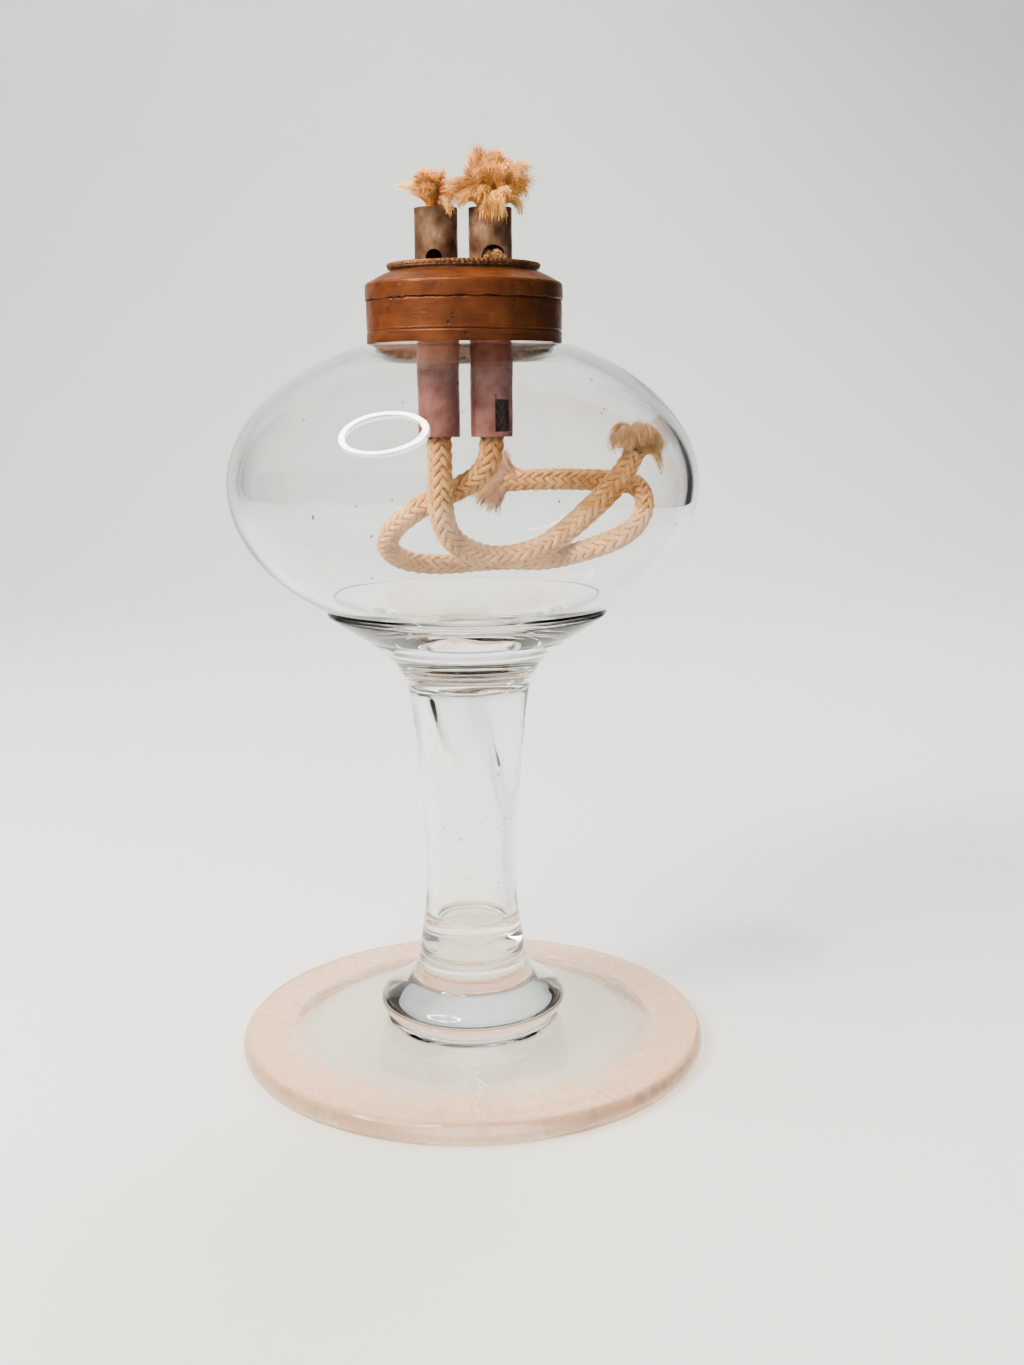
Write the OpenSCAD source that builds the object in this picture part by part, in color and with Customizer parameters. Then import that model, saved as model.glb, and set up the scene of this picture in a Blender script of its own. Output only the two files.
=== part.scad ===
// Antique blown-glass burner lamp: round foot, hollow stem, squat fuel font, brass screw collar,
// two-tube brass burner and two braided cotton wicks. Stands on z = 0, +Z up, its axis at x = y = 0.

/* [Foot] */
// Radius of the foot disc
foot_r = 46.3; // [42:0.1:52]
// Height of the foot disc where the wafer sits on it
foot_h = 6; // [5:0.1:8]
// Radius of the recess inside the worn contact ring
foot_recess_r = 35; // [25:1:38]
// Depth of the recess under the foot
foot_recess_depth = 1.4; // [0.5:0.1:2]
// Largest radius of the wafer on the foot
wafer_r = 18.6; // [17:0.1:20]

/* [Stem] */
// Height where the stem starts
stem_bottom_z = 19.4; // [18:0.1:22]
// Height where the stem ends under the flared cup
stem_top_z = 77.4; // [70:0.1:80]
// Radius of the stem at its narrowest
stem_waist_r = 8.9; // [8:0.1:10]
// Wall thickness of the stem
stem_wall = 2.1; // [1.5:0.1:3]

/* [Font] */
// Height of the font's widest line
font_z = 112.3; // [105:0.1:118]
// Largest radius of the font
font_r = 44.4; // [40:0.1:46]
// Half height of the font below its widest line
font_drop = 29.4; // [28:0.1:30]
// Half height of the font above its widest line
font_rise = 28.7; // [28:0.1:29.5]
// Wall thickness of the font
font_wall = 2; // [1.5:0.1:2.5]
// Outer radius of the font's neck
neck_r = 16.2; // [15.5:0.1:16.6]

/* [Collar] */
// Outer radius of the collar
collar_r = 18.2; // [18:0.1:19]
// Thickness of the collar's sheet brass
collar_wall = 0.8; // [0.6:0.1:1]
// Height of the collar's lower edge
collar_bottom_z = 138.3; // [138:0.1:139]
// Height of the seam where the cap laps the skirt
collar_seam_z = 146.1; // [145:0.1:147]
// Height of the collar's top face
collar_top_z = 151.2; // [150.5:0.1:152]

/* [Burner] */
// Radius of the burner's disc
disc_r = 14.1; // [13.6:0.1:14.6]
// Thickness of the disc
disc_h = 1; // [0.8:0.1:1.5]
// Thickness of the leather washer under the disc
washer_h = 0.5; // [0.4:0.1:1]
// Mean radius of the screw thread
thread_r = 11.3; // [11:0.1:11.5]
// Pitch of the screw thread
thread_pitch = 1.6; // [1.2:0.1:2]
// Half depth of the screw thread
thread_depth = 0.28; // [0.2:0.01:0.35]
// Radial clearance between the two threads
thread_gap = 0.2; // [0.15:0.01:0.25]

/* [Wicks] */
// Outer diameter of a wick tube
tube_d = 8; // [7:0.1:8.5]
// Wall thickness of a wick tube
tube_wall = 0.7; // [0.5:0.1:1]
// Distance between the two tubes' axes
tube_spacing = 10; // [9:0.1:10.5]
// Height of the tubes' lower ends
tube_bottom_z = 121.6; // [120:0.1:124]
// Height of the tubes' upper ends
tube_top_z = 162.6; // [158:0.1:166]
// Diameter of the wick cord
wick_d = 5; // [4.5:0.1:5.2]

/* [Hidden] */

$fn = 96;
fine = 0.1;

glass_colour = [0.80, 0.87, 0.88, 0.45];
brass_colour = [0.42, 0.22, 0.12];
tube_colour = [0.34, 0.27, 0.24];
cotton_colour = [0.86, 0.68, 0.48];

// Foot and wafer
foot_edge_z = 2;
foot_rim_z = 4.2;
foot_seat_r = 17;
wafer_belly_z = 9.3;
wafer_waist_r = 11.9;
wafer_waist_z = 14.2;
wafer_top_r = 10.4;

// Stem
stem_flare_z = 70;
stem_flare_r = 11.3;
stem_foot_r = 10.35;
stem_waist_z = 36;
stem_end_r = 13.6;
bubble_bottom_z = 25.5;
bubble_cap_z = 76.4;

// Merese: flared cup under the font
cup_ridge = [20, 83.4];
cup_lip = [26.7, 88.4];
cup_seat_r = 8.2;
cup_gap = 0.08;
font_seat_z = 83.4;

// Neck of the font, inside the collar
neck_wall = 1.8;
neck_bottom_z = 139.2;
neck_top_z = 145.2;
neck_bead = 0.5;

// Collar
collar_inner_r = collar_r - collar_wall;
groove_z = 140.5;
groove_depth = 0.25;
cap_lap = 0.15;
cap_shoulder_z = 148.9;
cap_plate_r = 14.1;
cap_hole_r = thread_r + thread_depth + 0.32;
ring_bottom_z = 146;
ring_outer_r = 13.3;
cement_bottom_z = 138.7;

// Burner
disc_bottom_z = collar_top_z + washer_h;
disc_top_z = disc_bottom_z + disc_h;
washer_inner_r = cap_hole_r;
washer_outer_r = 13.5;
mill_count = 64;
mill_depth = 0.22;
plug_inner_r = 9.7;
plug_bottom_z = ring_bottom_z + 0.2;
thread_sides = 48;
rows_per_pitch = 6;
vent_r = 0.6;
vent_y = 7.2;
tube_r = tube_d / 2;
tube_inner_r = tube_r - tube_wall;
pick_z = 153.6;
pick_left = [1.5, -0.4];
pick_right = [2.2, 0.5];
window_z = [122.6, 128.6];
window_x = 0.6;
solder_r = 0.85;
solder_h = 0.6;

// Wicks
wick_r = wick_d / 2;
wick_sides = 10;
core_bottom_z = 126;
tuft_gap = 0.1;

// Routes of the two free wick stretches, from inside the tubes to where they fray
left_route = [
    [-5, 0, 126], [-5, 0, 121], [-5, 0, 116], [-5, 0.2, 111], [-4.8, 1.2, 106.4],
    [-3.6, 3.4, 102.2], [-0.8, 6.2, 99.2], [3.6, 8.4, 97.2], [9, 9.8, 96.8], [14.4, 10.6, 98.2],
    [19.2, 11.2, 101.4], [23.4, 11.8, 105], [27.2, 12.2, 108.8], [30, 11.6, 112.4], [32, 10, 115.6],
    [33.8, 8.2, 119]];
right_route = [
    [5, 0, 126], [5, 0, 121.5], [4.5, 0.8, 117.2], [2.4, 2.8, 113.8], [-1.2, 5, 111.4],
    [-5.6, 6.8, 109.2], [-10, 8.6, 106.6], [-13.8, 11.2, 103.4], [-16, 14.8, 100],
    [-15.8, 18.6, 96.8], [-12.8, 21.4, 94.4], [-8, 22.8, 93.4], [-2.4, 23, 93.6], [3.6, 22.4, 94.2],
    [9.6, 21, 94.6], [15.4, 18.4, 95], [20.6, 14.6, 96.4], [25.2, 10.2, 98.4], [29.6, 7.8, 100.6],
    [33.2, 7.4, 103], [35.4, 9, 106], [35.8, 12.4, 108.8], [35, 16, 110.2], [33.6, 19.6, 111],
    [30, 23.8, 111.2], [25.6, 27.6, 111.4], [20.4, 30.8, 111.4], [14.8, 33.6, 111.2],
    [9.4, 35.4, 110.8]];

// ---- shared shapes ----

function arc(centre, radii, from, to, steps) =
    [for (i = [0:steps])
        let (a = from + (to - from) * i / steps)
        [centre[0] + radii[0] * cos(a), centre[1] + radii[1] * sin(a)]];

function curve(a, b, c, steps) =
    [for (i = [0:steps])
        let (t = i / steps)
        a * (1 - t) * (1 - t) + b * 2 * t * (1 - t) + c * t * t];

module turned(outline) {
    rotate_extrude() polygon(outline);
}

module ball(at, r) {
    translate(at) sphere(r = r, $fn = 20);
}

// Closed strip of quads between rings of n points each, capped at both ends.
module loft(rings) {
    n = len(rings[0]);
    last = len(rings) - 1;
    points = [for (ring = rings) each ring];
    sides = [for (k = [0:last - 1], i = [0:n - 1])
        let (j = (i + 1) % n)
        each [[k * n + i, (k + 1) * n + i, (k + 1) * n + j], [k * n + i, (k + 1) * n + j, k * n + j]]];
    start = [for (i = [0:n - 1]) i];
    end = [for (i = [n - 1:-1:0]) last * n + i];
    polyhedron(points = points, faces = concat(sides, [start], [end]));
}

// ---- cord sweep along a route ----

function unit(v) = v / norm(v);

function heading(route, i) =
    unit(route[min(i + 1, len(route) - 1)] - route[max(i - 1, 0)]);

// Carries the side direction along the route without twist.
function side_at(route, i) =
    let (t = heading(route, i), s = i == 0 ? [1, 0, 0] : side_at(route, i - 1))
    unit(s - t * (s * t));

function cord_ring(route, i, r, sides) =
    let (t = heading(route, i), u = side_at(route, i), v = cross(t, u))
    [for (k = [0:sides - 1])
        let (a = -360 * k / sides)
        route[i] + r * (cos(a) * u + sin(a) * v)];

module cord(route, r) {
    loft([for (i = [0:len(route) - 1]) cord_ring(route, i, r, wick_sides)]);
}

// ---- screw thread ----

// Radius of the thread's surface at an angle and a height: a right-hand single-start helix.
function thread_surface(a, z, extra) =
    thread_r + extra + thread_depth * cos(360 * z / thread_pitch - a);

// Ring with a threaded wall and a plain wall, as one closed surface.
module threaded_ring(z0, z1, plain_r, extra) {
    rows = ceil((z1 - z0) / thread_pitch * rows_per_pitch);
    threaded = [for (k = [0:rows])
        let (z = z0 + (z1 - z0) * k / rows)
        [for (i = [0:thread_sides - 1])
            let (a = 360 * i / thread_sides, r = thread_surface(a, z, extra))
            [r * cos(a), r * sin(a), z]]];
    plain = [for (z = [z1, z0])
        [for (i = [0:thread_sides - 1])
            let (a = 360 * i / thread_sides)
            [plain_r * cos(a), plain_r * sin(a), z]]];
    rings = concat(threaded, plain);
    count = len(rings);
    n = thread_sides;
    points = [for (ring = rings) each ring];
    inward = plain_r < thread_r;
    faces = [for (k = [0:count - 1], i = [0:n - 1])
        let (j = (i + 1) % n, m = (k + 1) % count)
        each inward
            ? [[k * n + i, m * n + i, m * n + j], [k * n + i, m * n + j, k * n + j]]
            : [[k * n + i, m * n + j, m * n + i], [k * n + i, k * n + j, m * n + j]]];
    polyhedron(points = points, faces = faces);
}

// ---- glass ----

module foot() {
    color(glass_colour)
        turned(concat(
            [[0, foot_recess_depth], [foot_recess_r - 1.5, foot_recess_depth], [foot_recess_r, 0]],
            arc([foot_r - 1.2, foot_edge_z], [1.2, foot_edge_z], -90, 0, 5),
            arc([foot_r - 1.6, foot_edge_z], [1.6, foot_rim_z - foot_edge_z], 15, 80, 4),
            [[foot_seat_r + 3, foot_h - 0.3], [foot_seat_r, foot_h], [0, foot_h]]));
}

module foot_wafer() {
    color(glass_colour)
        turned(concat(
            [[0, foot_h], [foot_seat_r - 0.4, foot_h]],
            curve([foot_seat_r + 0.4, foot_h + 1], [wafer_r + 0.7, wafer_belly_z - 0.3],
                [wafer_r - 1.2, wafer_belly_z + 2], 8),
            curve([wafer_r - 2.2, wafer_belly_z + 3], [wafer_waist_r + 1.2, wafer_waist_z - 0.6],
                [wafer_waist_r, wafer_waist_z], 5),
            [[wafer_top_r, stem_bottom_z], [0, stem_bottom_z]]));
}

module stem() {
    color(glass_colour)
        turned(concat(
            [[0, stem_bottom_z], [stem_foot_r, stem_bottom_z]],
            curve([stem_foot_r - 0.1, stem_bottom_z + 3], [stem_waist_r - 0.2, stem_bottom_z + 6],
                [stem_waist_r, stem_waist_z], 6),
            curve([stem_waist_r + 0.1, stem_waist_z + 6], [stem_waist_r + 1, stem_waist_z + 20],
                [stem_flare_r, stem_flare_z], 6),
            curve([stem_flare_r + 0.4, stem_flare_z + 2], [stem_flare_r + 1, stem_top_z - 2],
                [stem_end_r, stem_top_z], 4),
            [[0, stem_top_z], [0, bubble_cap_z]],
            curve([4, bubble_cap_z - 0.1], [stem_end_r - stem_wall - 1.4, bubble_cap_z - 0.6],
                [stem_flare_r - stem_wall - 0.6, stem_flare_z], 6),
            curve([stem_flare_r - stem_wall - 0.9, stem_flare_z - 4], [stem_waist_r - stem_wall - 0.2, 46],
                [stem_waist_r - stem_wall, stem_waist_z], 6),
            curve([stem_waist_r - stem_wall, stem_waist_z - 2], [stem_waist_r - stem_wall - 0.2, 26.4],
                [4, bubble_bottom_z + 0.2], 6),
            [[0, bubble_bottom_z]]));
}

module merese() {
    seat_angle = -asin((font_z - cup_lip[1] - 0.4) / (font_drop + cup_gap));
    start_angle = -acos((cup_seat_r + 0.6) / (font_r + cup_gap));
    color(glass_colour)
        turned(concat(
            [[0, stem_top_z]],
            curve([stem_end_r, stem_top_z], [stem_end_r + 0.6, stem_top_z + 1.6], cup_ridge, 5),
            curve(cup_ridge + [0.6, 0.9], cup_ridge + [3, 3.4], cup_lip, 4),
            arc([0, font_z], [font_r + cup_gap, font_drop + cup_gap], seat_angle, start_angle, 14),
            [[cup_seat_r, font_seat_z], [0, font_seat_z]]));
}

function font_outline(r, drop, rise, start, end) =
    concat(
        arc([0, font_z], [r, drop], start, 0, 20),
        [for (p = arc([0, font_z], [r, rise], 0, end, 20)) if (p[1] > font_z + fine) p]);

module font() {
    outer_start = -acos(cup_seat_r / font_r);
    outer_end = acos((neck_r + 4.4) / font_r);
    inner_end = acos((neck_r + 1.6) / (font_r - font_wall));
    outer = font_outline(font_r, font_drop, font_rise, outer_start, outer_end);
    inner = font_outline(font_r - font_wall, font_drop - font_wall, font_rise - font_wall, -90, inner_end);
    neck_inner_r = neck_r - neck_wall;
    color(glass_colour)
        turned(concat(
            [[0, font_seat_z], [cup_seat_r - 0.2, font_seat_z]],
            outer,
            [[neck_r + 2.1, neck_bottom_z - 1.2], [neck_r + 0.6, neck_bottom_z - 0.8],
             [neck_r, neck_bottom_z], [neck_r, neck_top_z - 1],
             [neck_r + neck_bead, neck_top_z - 0.6], [neck_r + neck_bead, neck_top_z],
             [neck_inner_r, neck_top_z], [neck_inner_r, neck_bottom_z - 0.8]],
            [for (i = [len(inner) - 1:-1:0]) inner[i]]));
}

// ---- collar ----

module collar_skirt() {
    color(brass_colour)
        turned([
            [collar_inner_r, collar_bottom_z], [collar_r - 0.2, collar_bottom_z],
            [collar_r, collar_bottom_z + 0.25],
            [collar_r, groove_z - 0.3], [collar_r - groove_depth, groove_z], [collar_r, groove_z + 0.3],
            [collar_r, collar_seam_z], [collar_inner_r, collar_seam_z]]);
}

module collar_cap() {
    outer_r = collar_r + cap_lap;
    plate_z = collar_top_z - 0.6;
    color(brass_colour)
        turned(concat(
            [[collar_inner_r, collar_seam_z], [outer_r, collar_seam_z], [outer_r, cap_shoulder_z - 0.6]],
            curve([outer_r - 0.05, cap_shoulder_z - 0.4], [outer_r - 0.2, cap_shoulder_z + 0.2],
                [outer_r - 0.9, cap_shoulder_z + 0.6], 4),
            [[cap_plate_r, collar_top_z], [cap_hole_r, collar_top_z], [cap_hole_r, plate_z],
             [cap_plate_r - 0.4, plate_z], [collar_inner_r, cap_shoulder_z - 0.4]]));
}

module collar_thread_ring() {
    color(brass_colour)
        threaded_ring(ring_bottom_z, collar_top_z - 0.6, ring_outer_r, thread_gap);
}

module collar_cement() {
    color([0.72, 0.66, 0.58])
        turned([
            [neck_r, neck_bottom_z + 0.1], [collar_inner_r, cement_bottom_z],
            [collar_inner_r, neck_top_z + 0.5],
            [neck_r - neck_wall, neck_top_z + 0.5], [neck_r - neck_wall, neck_top_z],
            [neck_r + neck_bead, neck_top_z], [neck_r + neck_bead, neck_top_z - 0.6],
            [neck_r, neck_top_z - 1]]);
}

// ---- burner ----

module sealing_washer() {
    color([0.30, 0.19, 0.12])
        turned([
            [washer_inner_r, collar_top_z], [washer_outer_r, collar_top_z],
            [washer_outer_r, disc_bottom_z], [washer_inner_r, disc_bottom_z]]);
}

module burner_disc() {
    step = 360 / mill_count;
    rim = [for (i = [0:mill_count - 1], k = [0, 1])
        let (a = (i + k / 2) * step, r = disc_r - k * mill_depth)
        [r * cos(a), r * sin(a)]];
    color(brass_colour)
        difference() {
            translate([0, 0, disc_bottom_z]) linear_extrude(disc_h) polygon(rim);
            for (side = [-1, 1])
                translate([side * tube_spacing / 2, 0, disc_bottom_z - 1])
                    cylinder(r = tube_r, h = disc_h + 2);
            translate([0, vent_y, disc_bottom_z - 1]) cylinder(r = vent_r, h = disc_h + 2);
        }
}

module burner_plug() {
    color(brass_colour)
        threaded_ring(plug_bottom_z, disc_bottom_z, plug_inner_r, 0);
}

module wick_tube(side, pick) {
    color(tube_colour)
        difference() {
            translate([side * tube_spacing / 2, 0, tube_bottom_z])
                cylinder(r = tube_r, h = tube_top_z - tube_bottom_z);
            translate([side * tube_spacing / 2, 0, tube_bottom_z - 1])
                cylinder(r = tube_inner_r, h = tube_top_z - tube_bottom_z + 2);
            translate([side * tube_spacing / 2 + pick[1], 0, pick_z])
                rotate([90, 0, 0]) cylinder(r = pick[0], h = tube_d);
            if (side > 0)
                translate([tube_spacing / 2 + window_x, -tube_d, window_z[0]])
                    cube([tube_d, tube_d, window_z[1] - window_z[0]]);
        }
}

module wick_tube_left() {
    wick_tube(-1, pick_left);
}

module wick_tube_right() {
    wick_tube(1, pick_right);
}

module tube_solder() {
    color([0.45, 0.42, 0.38])
        for (side = [-1, 1])
            translate([side * tube_spacing / 2, 0, disc_top_z])
                turned([[tube_r, 0], [tube_r + solder_r, 0], [tube_r + 0.25, 0.25], [tube_r, solder_h]]);
}

// ---- wicks ----

module wick_core(side) {
    translate([side * tube_spacing / 2, 0, core_bottom_z])
        cylinder(r = wick_r, h = tube_top_z + 2 - core_bottom_z);
}

module wick_left() {
    base_z = tube_top_z + tuft_gap;
    color(cotton_colour)
        union() {
            wick_core(-1);
            hull() {
                translate([-5.2, 0, base_z]) cylinder(r = 3.6, h = 1, $fn = 20);
                ball([-8.9, -0.6, 166.0], 2.7);
                ball([-6.6, 0.8, 166.6], 2.8);
                ball([-3.1, -0.4, 166.0], 2.6);
            }
        }
}

module wick_right() {
    base_z = tube_top_z + tuft_gap;
    color(cotton_colour)
        union() {
            wick_core(1);
            hull() {
                translate([5.2, 0, base_z]) cylinder(r = 3.8, h = 1, $fn = 20);
                ball([4.2, -0.6, 167.6], 3.9);
                ball([5.6, 0.8, 169.2], 3.9);
                ball([8.8, 0, 168.0], 3.6);
            }
        }
}

module wick_left_tail() {
    color(cotton_colour) cord(left_route, wick_r);
}

module wick_right_tail() {
    color(cotton_colour) cord(right_route, wick_r);
}

// Frayed head on the end of a route: its first ball is cut flat where the cord meets it.
module frayed_end(route, balls) {
    last = route[len(route) - 1];
    out = heading(route, len(route) - 1);
    tilt = acos(out[2]);
    turn = atan2(out[1], out[0]);
    color(cotton_colour)
        hull() {
            translate(last) rotate([0, tilt, turn]) cylinder(r = wick_r, h = 1, $fn = 20);
            for (b = balls) ball([b[0], b[1], b[2]], b[3]);
        }
}

module wick_left_frayed_end() {
    frayed_end(left_route, [[33.6, 6.2, 122.4, 3.3], [32.0, 6.0, 123.3, 3.4], [35.4, 6.2, 121.0, 2.8]]);
}

module wick_right_frayed_end() {
    frayed_end(right_route, [[4.6, 36.2, 112.4, 3.2], [3.6, 36.0, 109.2, 3.6], [4.4, 35.4, 106.0, 3.0]]);
}

foot();
foot_wafer();
stem();
merese();
font();
collar_skirt();
collar_cap();
collar_thread_ring();
collar_cement();
sealing_washer();
burner_disc();
burner_plug();
wick_tube_left();
wick_tube_right();
tube_solder();
wick_left();
wick_right();
wick_left_tail();
wick_right_tail();
wick_left_frayed_end();
wick_right_frayed_end();
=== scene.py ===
"""Looks of a blown-glass burner lamp: fused glass, brown brass collar and burner, braided cotton wicks.

Shapes are worked out in millimetres in the frame's axes and written to meshes in metres.
"""

import math

import bpy
import numpy as np
from mathutils import Matrix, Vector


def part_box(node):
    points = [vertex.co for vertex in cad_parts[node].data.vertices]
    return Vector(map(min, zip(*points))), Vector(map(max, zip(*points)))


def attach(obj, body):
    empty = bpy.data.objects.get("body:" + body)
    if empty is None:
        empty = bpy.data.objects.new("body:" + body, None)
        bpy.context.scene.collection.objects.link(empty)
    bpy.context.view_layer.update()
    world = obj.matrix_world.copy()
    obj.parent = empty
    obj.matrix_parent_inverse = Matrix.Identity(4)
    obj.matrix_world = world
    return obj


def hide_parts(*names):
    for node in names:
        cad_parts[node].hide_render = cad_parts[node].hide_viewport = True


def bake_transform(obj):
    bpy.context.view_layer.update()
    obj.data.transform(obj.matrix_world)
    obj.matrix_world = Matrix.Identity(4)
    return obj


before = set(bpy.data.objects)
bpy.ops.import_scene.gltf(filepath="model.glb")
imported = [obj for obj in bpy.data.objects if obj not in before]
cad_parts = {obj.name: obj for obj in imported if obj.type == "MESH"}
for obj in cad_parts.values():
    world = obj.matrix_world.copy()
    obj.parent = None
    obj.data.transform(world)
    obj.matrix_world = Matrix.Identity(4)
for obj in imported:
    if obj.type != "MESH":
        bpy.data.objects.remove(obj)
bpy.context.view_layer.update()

MM = 0.001
TAU = 2 * math.pi

# Camera: a phone held a little above the font and tilted down
CAMERA_HEIGHT = 129.8
CAMERA_DISTANCE = 284.5
CAMERA_LENS = 39.15
CAMERA_PITCH = math.radians(11.15)
CAMERA_YAW = math.radians(1.69)
CAMERA_ROLL = math.radians(-0.43)

# Heights and radii that the CAD fixes, read from the frame
FOOT_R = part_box("foot")[1][0] / MM
FOOT_TOP_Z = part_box("foot")[1][2] / MM
WAFER_TOP_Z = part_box("foot_wafer")[1][2] / MM
STEM_TOP_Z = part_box("stem")[1][2] / MM
FONT_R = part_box("font")[1][0] / MM
NECK_TOP_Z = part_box("font")[1][2] / MM
COLLAR_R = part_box("collar_skirt")[1][0] / MM
COLLAR_BOTTOM_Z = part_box("collar_skirt")[0][2] / MM
SEAM_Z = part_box("collar_skirt")[1][2] / MM
COLLAR_TOP_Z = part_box("collar_cap")[1][2] / MM
DISC_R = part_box("burner_disc")[1][0] / MM
DISC_TOP_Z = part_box("burner_disc")[1][2] / MM
TUBE_TOP_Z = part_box("wick_tube_left")[1][2] / MM
TUBE_X = 5
WICK_R = 2.5

# Font: an ellipse of revolution, flatter above than below
FONT_Z = 112.3
FONT_DROP = 29.4
FONT_RISE = 28.7
FONT_WALL = 2.0

# Routes of the free wick stretches, the same points as in the CAD
LEFT_ROUTE = [
    (-5, 0, 126), (-5, 0, 121), (-5, 0, 116), (-5, 0.2, 111), (-4.8, 1.2, 106.4),
    (-3.6, 3.4, 102.2), (-0.8, 6.2, 99.2), (3.6, 8.4, 97.2), (9, 9.8, 96.8), (14.4, 10.6, 98.2),
    (19.2, 11.2, 101.4), (23.4, 11.8, 105), (27.2, 12.2, 108.8), (30, 11.6, 112.4), (32, 10, 115.6),
    (33.8, 8.2, 119)]
RIGHT_ROUTE = [
    (5, 0, 126), (5, 0, 121.5), (4.5, 0.8, 117.2), (2.4, 2.8, 113.8), (-1.2, 5, 111.4),
    (-5.6, 6.8, 109.2), (-10, 8.6, 106.6), (-13.8, 11.2, 103.4), (-16, 14.8, 100),
    (-15.8, 18.6, 96.8), (-12.8, 21.4, 94.4), (-8, 22.8, 93.4), (-2.4, 23, 93.6), (3.6, 22.4, 94.2),
    (9.6, 21, 94.6), (15.4, 18.4, 95), (20.6, 14.6, 96.4), (25.2, 10.2, 98.4), (29.6, 7.8, 100.6),
    (33.2, 7.4, 103), (35.4, 9, 106), (35.8, 12.4, 108.8), (35, 16, 110.2), (33.6, 19.6, 111),
    (30, 23.8, 111.2), (25.6, 27.6, 111.4), (20.4, 30.8, 111.4), (14.8, 33.6, 111.2),
    (9.4, 35.4, 110.8)]


# ---- camera ----

def make_camera():
    data = bpy.data.cameras.new("camera")
    data.sensor_width = 36
    data.lens = CAMERA_LENS
    data.clip_start = 0.01
    camera = bpy.data.objects.new("camera", data)
    bpy.context.scene.collection.objects.link(camera)
    turn = (Matrix.Rotation(-CAMERA_YAW, 4, "Z")
            @ Matrix.Rotation(math.pi / 2 - CAMERA_PITCH, 4, "X")
            @ Matrix.Rotation(CAMERA_ROLL, 4, "Z"))
    place = Matrix.Translation((0, -CAMERA_DISTANCE * MM, CAMERA_HEIGHT * MM))
    camera.matrix_world = place @ turn
    bpy.context.scene.camera = camera


# ---- shape helpers, in millimetres ----

def curve(a, b, c, steps):
    """Quadratic curve from a to c pulled towards b."""
    t = np.linspace(0, 1, steps + 1)[:, None]
    a, b, c = (np.array(p, float) for p in (a, b, c))
    return a * (1 - t) ** 2 + b * 2 * t * (1 - t) + c * t ** 2


def arc(centre, radii, start, end, steps):
    """Arc of an ellipse between two angles in degrees."""
    a = np.radians(np.linspace(start, end, steps + 1))
    return np.stack([centre[0] + radii[0] * np.cos(a), centre[1] + radii[1] * np.sin(a)], axis=1)


def through(points, step):
    """Smooth curve through the points, resampled to an even step."""
    p = np.array(points, float)
    p = np.vstack([2 * p[0] - p[1], p, 2 * p[-1] - p[-2]])
    t = np.linspace(0, 1, 17)[:-1, None]
    parts = [0.5 * ((2 * b) + (c - a) * t + (2 * a - 5 * b + 4 * c - d) * t ** 2
                    + (3 * b - a - 3 * c + d) * t ** 3)
             for a, b, c, d in zip(p[:-3], p[1:-2], p[2:-1], p[3:])]
    line = np.vstack(parts + [p[-2][None]])
    along = np.concatenate([[0], np.cumsum(np.linalg.norm(np.diff(line, axis=0), axis=1))])
    at = np.linspace(0, along[-1], int(round(along[-1] / step)) + 1)
    return np.stack([np.interp(at, along, line[:, k]) for k in range(3)], axis=1)


def length_of(line):
    return float(np.linalg.norm(np.diff(line, axis=0), axis=1).sum())


def unit(v):
    return v / np.maximum(np.linalg.norm(v, axis=-1, keepdims=True), 1e-9)


def smooth(x, low, high):
    """0 below low, 1 above high, smooth between."""
    t = np.clip((x - low) / (high - low), 0, 1)
    return t * t * (3 - 2 * t)


def wobble(points, seed, size):
    """Smooth noise between about -1 and 1 whose lumps are about size across."""
    rng = np.random.default_rng(seed)
    total = np.zeros(len(points))
    for octave in range(3):
        for _ in range(5):
            direction = rng.normal(size=3)
            wave = direction / np.linalg.norm(direction) * TAU / (2 * size) * 1.9 ** octave
            total += np.sin(points @ wave + rng.uniform(0, TAU)) * 0.55 ** octave
    return total / 4


class Shape:
    """Vertices and faces gathered from several parts, with a material number for each face.

    shade is kept with each vertex: low values are painted shade in the hollows between yarns and in the cores
    of locks, and random values give each fibre its own tone.
    """

    def __init__(self):
        self.points = []
        self.faces = []
        self.slots = []
        self.shades = []
        self.count = 0

    def add(self, points, faces, shade=1.0):
        self.points.append(np.asarray(points, float))
        self.faces += [tuple(i + self.count for i in face) for face in faces]
        self.slots += [0] * len(faces)
        self.shades.append(np.broadcast_to(np.asarray(shade, float), (len(points),)))
        self.count += len(points)

    def piece(self, name, materials):
        """Makes the mesh object, smooth shaded, in metres."""
        mesh = bpy.data.meshes.new(name)
        mesh.from_pydata((np.vstack(self.points) * MM).tolist(), [], self.faces)
        for material in materials:
            mesh.materials.append(material)
        mesh.polygons.foreach_set("material_index", self.slots)
        mesh.polygons.foreach_set("use_smooth", [True] * len(mesh.polygons))
        shade = mesh.attributes.new("shade", "FLOAT", "POINT")
        shade.data.foreach_set("value", np.concatenate(self.shades))
        mesh.update()
        obj = bpy.data.objects.new(name, mesh)
        bpy.context.scene.collection.objects.link(obj)
        return obj


def lathe(outline, segments, closed=False):
    """Surface of revolution of (r, z) points; a point on the axis becomes one pole."""
    angles = np.linspace(0, TAU, segments, endpoint=False)
    points, rows = [], []
    for r, z in outline:
        start = len(points)
        if r < 1e-6:
            points.append((0, 0, z))
            rows.append([start] * segments)
        else:
            points += [(r * math.cos(a), r * math.sin(a), z) for a in angles]
            rows.append(list(range(start, start + segments)))
    pairs = list(zip(rows[:-1], rows[1:]))
    if closed:
        pairs.append((rows[-1], rows[0]))
    faces = []
    for low, high in pairs:
        for i in range(segments):
            j = (i + 1) % segments
            ring = [low[i], low[j], high[j], high[i]]
            face = [v for k, v in enumerate(ring) if v != ring[k - 1]]
            faces.append(face)
    return np.array(points), faces


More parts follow.
